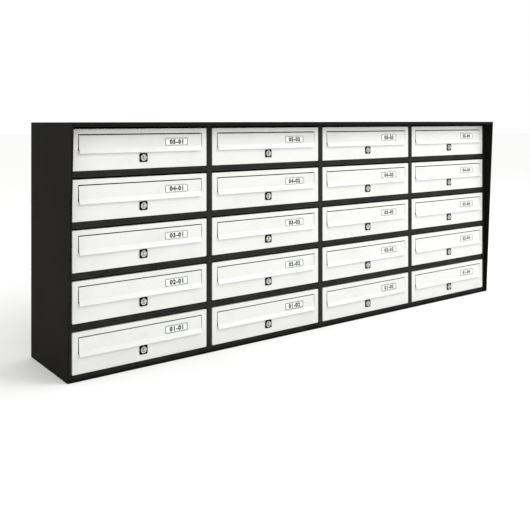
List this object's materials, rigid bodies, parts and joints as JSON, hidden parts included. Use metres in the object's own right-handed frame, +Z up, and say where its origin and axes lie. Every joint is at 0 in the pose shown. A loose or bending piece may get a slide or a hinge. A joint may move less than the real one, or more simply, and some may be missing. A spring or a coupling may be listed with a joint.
{
  "type": "cluster mailbox unit",
  "caption": "Wide bank of horizontal letterboxes in a dark sheet-metal casing, with white lift-up doors, letter flaps, name plates and cam locks.",
  "frame": {"origin": "on the underside, at the middle of the overall width and depth", "axes": "+X along the bank to the right of someone facing the doors, doors facing -Y, +Z up"},
  "size_m": [1.57, 0.276, 0.609],
  "materials": {
    "anthracite_powder_coat": "fine-textured matt powder coat on folded steel",
    "anodised_dark_aluminium": "satin powder coat on extruded frame bars",
    "white_powder_coat": "smooth semi-gloss powder coat on folded steel",
    "galvanised_sheet": "bare galvanised sheet",
    "steel_pin": "zinc-plated steel",
    "chrome_lock": "nickel-plated zinc die-casting",
    "black_rubber": "moulded rubber"
  },
  "bodies": {
    "casing": {"roof_panel": "anthracite_powder_coat", "left_side_panel": "anthracite_powder_coat", "right_side_panel": "anthracite_powder_coat", "base_panel": "anthracite_powder_coat", "back_panel": "anthracite_powder_coat", "column_dividers": "galvanised_sheet", "shelves": "galvanised_sheet", "mullions": "anodised_dark_aluminium", "side_jambs": "anodised_dark_aluminium", "door_rails": "anodised_dark_aluminium", "strike_strips": "galvanised_sheet", "door_bumpers": "black_rubber", "door_hinge_pins": "steel_pin", "frame_rivets": "steel_pin"},
    "door_01": {"door_01": "white_powder_coat"},
    "flap_01": {"flap_01": "white_powder_coat"},
    "lock_plug_01": {"lock_plug_01": "chrome_lock"},
    "door_02": {"door_02": "white_powder_coat"},
    "flap_02": {"flap_02": "white_powder_coat"},
    "door_03": {"door_03": "white_powder_coat"},
    "flap_03": {"flap_03": "white_powder_coat"},
    "door_04": {"door_04": "white_powder_coat"},
    "flap_04": {"flap_04": "white_powder_coat"},
    "door_05": {"door_05": "white_powder_coat"},
    "flap_05": {"flap_05": "white_powder_coat"},
    "lock_plug_05": {"lock_plug_05": "chrome_lock"},
    "door_06": {"door_06": "white_powder_coat"},
    "flap_06": {"flap_06": "white_powder_coat"},
    "door_07": {"door_07": "white_powder_coat"},
    "flap_07": {"flap_07": "white_powder_coat"},
    "door_08": {"door_08": "white_powder_coat"},
    "flap_08": {"flap_08": "white_powder_coat"},
    "door_09": {"door_09": "white_powder_coat"},
    "flap_09": {"flap_09": "white_powder_coat"},
    "lock_plug_09": {"lock_plug_09": "chrome_lock"},
    "door_10": {"door_10": "white_powder_coat"},
    "flap_10": {"flap_10": "white_powder_coat"},
    "door_11": {"door_11": "white_powder_coat"},
    "flap_11": {"flap_11": "white_powder_coat"},
    "door_12": {"door_12": "white_powder_coat"},
    "flap_12": {"flap_12": "white_powder_coat"},
    "door_13": {"door_13": "white_powder_coat"},
    "flap_13": {"flap_13": "white_powder_coat"},
    "lock_plug_13": {"lock_plug_13": "chrome_lock"},
    "door_14": {"door_14": "white_powder_coat"},
    "flap_14": {"flap_14": "white_powder_coat"},
    "door_15": {"door_15": "white_powder_coat"},
    "flap_15": {"flap_15": "white_powder_coat"},
    "door_16": {"door_16": "white_powder_coat"},
    "flap_16": {"flap_16": "white_powder_coat"},
    "door_17": {"door_17": "white_powder_coat"},
    "flap_17": {"flap_17": "white_powder_coat"},
    "lock_plug_17": {"lock_plug_17": "chrome_lock"},
    "door_18": {"door_18": "white_powder_coat"},
    "flap_18": {"flap_18": "white_powder_coat"},
    "door_19": {"door_19": "white_powder_coat"},
    "flap_19": {"flap_19": "white_powder_coat"},
    "door_20": {"door_20": "white_powder_coat"},
    "flap_20": {"flap_20": "white_powder_coat"}
  },
  "joints": [
    {"name": "door_01_hinge", "type": "hinge", "parent": "casing", "child": "door_01", "pos_m": [-0.585, -0.096, 0.587], "axis": [-1, 0, 0], "range_deg": [0, 80]},
    {"name": "flap_01_hinge", "type": "hinge", "parent": "door_01", "child": "flap_01", "pos_m": [-0.585, -0.096, 0.5755], "axis": [1, 0, 0], "range_deg": [-60, 0]},
    {"name": "lock_01_turn", "type": "hinge", "parent": "door_01", "child": "lock_plug_01", "pos_m": [-0.585, -0.102, 0.52125], "axis": [0, 1, 0], "range_deg": [0, 90]},
    {"name": "door_02_hinge", "type": "hinge", "parent": "casing", "child": "door_02", "pos_m": [-0.195, -0.096, 0.587], "axis": [-1, 0, 0], "range_deg": [0, 80]},
    {"name": "flap_02_hinge", "type": "hinge", "parent": "door_02", "child": "flap_02", "pos_m": [-0.195, -0.096, 0.5755], "axis": [1, 0, 0], "range_deg": [-60, 0]},
    {"name": "door_03_hinge", "type": "hinge", "parent": "casing", "child": "door_03", "pos_m": [0.195, -0.096, 0.587], "axis": [-1, 0, 0], "range_deg": [0, 80]},
    {"name": "flap_03_hinge", "type": "hinge", "parent": "door_03", "child": "flap_03", "pos_m": [0.195, -0.096, 0.5755], "axis": [1, 0, 0], "range_deg": [-60, 0]},
    {"name": "door_04_hinge", "type": "hinge", "parent": "casing", "child": "door_04", "pos_m": [0.585, -0.096, 0.587], "axis": [-1, 0, 0], "range_deg": [0, 80]},
    {"name": "flap_04_hinge", "type": "hinge", "parent": "door_04", "child": "flap_04", "pos_m": [0.585, -0.096, 0.5755], "axis": [1, 0, 0], "range_deg": [-60, 0]},
    {"name": "door_05_hinge", "type": "hinge", "parent": "casing", "child": "door_05", "pos_m": [-0.585, -0.096, 0.467], "axis": [-1, 0, 0], "range_deg": [0, 80]},
    {"name": "flap_05_hinge", "type": "hinge", "parent": "door_05", "child": "flap_05", "pos_m": [-0.585, -0.096, 0.4555], "axis": [1, 0, 0], "range_deg": [-60, 0]},
    {"name": "lock_05_turn", "type": "hinge", "parent": "door_05", "child": "lock_plug_05", "pos_m": [-0.585, -0.102, 0.40125], "axis": [0, 1, 0], "range_deg": [0, 90]},
    {"name": "door_06_hinge", "type": "hinge", "parent": "casing", "child": "door_06", "pos_m": [-0.195, -0.096, 0.467], "axis": [-1, 0, 0], "range_deg": [0, 80]},
    {"name": "flap_06_hinge", "type": "hinge", "parent": "door_06", "child": "flap_06", "pos_m": [-0.195, -0.096, 0.4555], "axis": [1, 0, 0], "range_deg": [-60, 0]},
    {"name": "door_07_hinge", "type": "hinge", "parent": "casing", "child": "door_07", "pos_m": [0.195, -0.096, 0.467], "axis": [-1, 0, 0], "range_deg": [0, 80]},
    {"name": "flap_07_hinge", "type": "hinge", "parent": "door_07", "child": "flap_07", "pos_m": [0.195, -0.096, 0.4555], "axis": [1, 0, 0], "range_deg": [-60, 0]},
    {"name": "door_08_hinge", "type": "hinge", "parent": "casing", "child": "door_08", "pos_m": [0.585, -0.096, 0.467], "axis": [-1, 0, 0], "range_deg": [0, 80]},
    {"name": "flap_08_hinge", "type": "hinge", "parent": "door_08", "child": "flap_08", "pos_m": [0.585, -0.096, 0.4555], "axis": [1, 0, 0], "range_deg": [-60, 0]},
    {"name": "door_09_hinge", "type": "hinge", "parent": "casing", "child": "door_09", "pos_m": [-0.585, -0.096, 0.347], "axis": [-1, 0, 0], "range_deg": [0, 80]},
    {"name": "flap_09_hinge", "type": "hinge", "parent": "door_09", "child": "flap_09", "pos_m": [-0.585, -0.096, 0.3355], "axis": [1, 0, 0], "range_deg": [-60, 0]},
    {"name": "lock_09_turn", "type": "hinge", "parent": "door_09", "child": "lock_plug_09", "pos_m": [-0.585, -0.102, 0.28125], "axis": [0, 1, 0], "range_deg": [0, 90]},
    {"name": "door_10_hinge", "type": "hinge", "parent": "casing", "child": "door_10", "pos_m": [-0.195, -0.096, 0.347], "axis": [-1, 0, 0], "range_deg": [0, 80]},
    {"name": "flap_10_hinge", "type": "hinge", "parent": "door_10", "child": "flap_10", "pos_m": [-0.195, -0.096, 0.3355], "axis": [1, 0, 0], "range_deg": [-60, 0]},
    {"name": "door_11_hinge", "type": "hinge", "parent": "casing", "child": "door_11", "pos_m": [0.195, -0.096, 0.347], "axis": [-1, 0, 0], "range_deg": [0, 80]},
    {"name": "flap_11_hinge", "type": "hinge", "parent": "door_11", "child": "flap_11", "pos_m": [0.195, -0.096, 0.3355], "axis": [1, 0, 0], "range_deg": [-60, 0]},
    {"name": "door_12_hinge", "type": "hinge", "parent": "casing", "child": "door_12", "pos_m": [0.585, -0.096, 0.347], "axis": [-1, 0, 0], "range_deg": [0, 80]},
    {"name": "flap_12_hinge", "type": "hinge", "parent": "door_12", "child": "flap_12", "pos_m": [0.585, -0.096, 0.3355], "axis": [1, 0, 0], "range_deg": [-60, 0]},
    {"name": "door_13_hinge", "type": "hinge", "parent": "casing", "child": "door_13", "pos_m": [-0.585, -0.096, 0.227], "axis": [-1, 0, 0], "range_deg": [0, 80]},
    {"name": "flap_13_hinge", "type": "hinge", "parent": "door_13", "child": "flap_13", "pos_m": [-0.585, -0.096, 0.2155], "axis": [1, 0, 0], "range_deg": [-60, 0]},
    {"name": "lock_13_turn", "type": "hinge", "parent": "door_13", "child": "lock_plug_13", "pos_m": [-0.585, -0.102, 0.16125], "axis": [0, 1, 0], "range_deg": [0, 90]},
    {"name": "door_14_hinge", "type": "hinge", "parent": "casing", "child": "door_14", "pos_m": [-0.195, -0.096, 0.227], "axis": [-1, 0, 0], "range_deg": [0, 80]},
    {"name": "flap_14_hinge", "type": "hinge", "parent": "door_14", "child": "flap_14", "pos_m": [-0.195, -0.096, 0.2155], "axis": [1, 0, 0], "range_deg": [-60, 0]},
    {"name": "door_15_hinge", "type": "hinge", "parent": "casing", "child": "door_15", "pos_m": [0.195, -0.096, 0.227], "axis": [-1, 0, 0], "range_deg": [0, 80]},
    {"name": "flap_15_hinge", "type": "hinge", "parent": "door_15", "child": "flap_15", "pos_m": [0.195, -0.096, 0.2155], "axis": [1, 0, 0], "range_deg": [-60, 0]},
    {"name": "door_16_hinge", "type": "hinge", "parent": "casing", "child": "door_16", "pos_m": [0.585, -0.096, 0.227], "axis": [-1, 0, 0], "range_deg": [0, 80]},
    {"name": "flap_16_hinge", "type": "hinge", "parent": "door_16", "child": "flap_16", "pos_m": [0.585, -0.096, 0.2155], "axis": [1, 0, 0], "range_deg": [-60, 0]},
    {"name": "door_17_hinge", "type": "hinge", "parent": "casing", "child": "door_17", "pos_m": [-0.585, -0.096, 0.107], "axis": [-1, 0, 0], "range_deg": [0, 80]},
    {"name": "flap_17_hinge", "type": "hinge", "parent": "door_17", "child": "flap_17", "pos_m": [-0.585, -0.096, 0.0955], "axis": [1, 0, 0], "range_deg": [-60, 0]},
    {"name": "lock_17_turn", "type": "hinge", "parent": "door_17", "child": "lock_plug_17", "pos_m": [-0.585, -0.102, 0.04125], "axis": [0, 1, 0], "range_deg": [0, 90]},
    {"name": "door_18_hinge", "type": "hinge", "parent": "casing", "child": "door_18", "pos_m": [-0.195, -0.096, 0.107], "axis": [-1, 0, 0], "range_deg": [0, 80]},
    {"name": "flap_18_hinge", "type": "hinge", "parent": "door_18", "child": "flap_18", "pos_m": [-0.195, -0.096, 0.0955], "axis": [1, 0, 0], "range_deg": [-60, 0]},
    {"name": "door_19_hinge", "type": "hinge", "parent": "casing", "child": "door_19", "pos_m": [0.195, -0.096, 0.107], "axis": [-1, 0, 0], "range_deg": [0, 80]},
    {"name": "flap_19_hinge", "type": "hinge", "parent": "door_19", "child": "flap_19", "pos_m": [0.195, -0.096, 0.0955], "axis": [1, 0, 0], "range_deg": [-60, 0]},
    {"name": "door_20_hinge", "type": "hinge", "parent": "casing", "child": "door_20", "pos_m": [0.585, -0.096, 0.107], "axis": [-1, 0, 0], "range_deg": [0, 80]},
    {"name": "flap_20_hinge", "type": "hinge", "parent": "door_20", "child": "flap_20", "pos_m": [0.585, -0.096, 0.0955], "axis": [1, 0, 0], "range_deg": [-60, 0]}
  ]
}
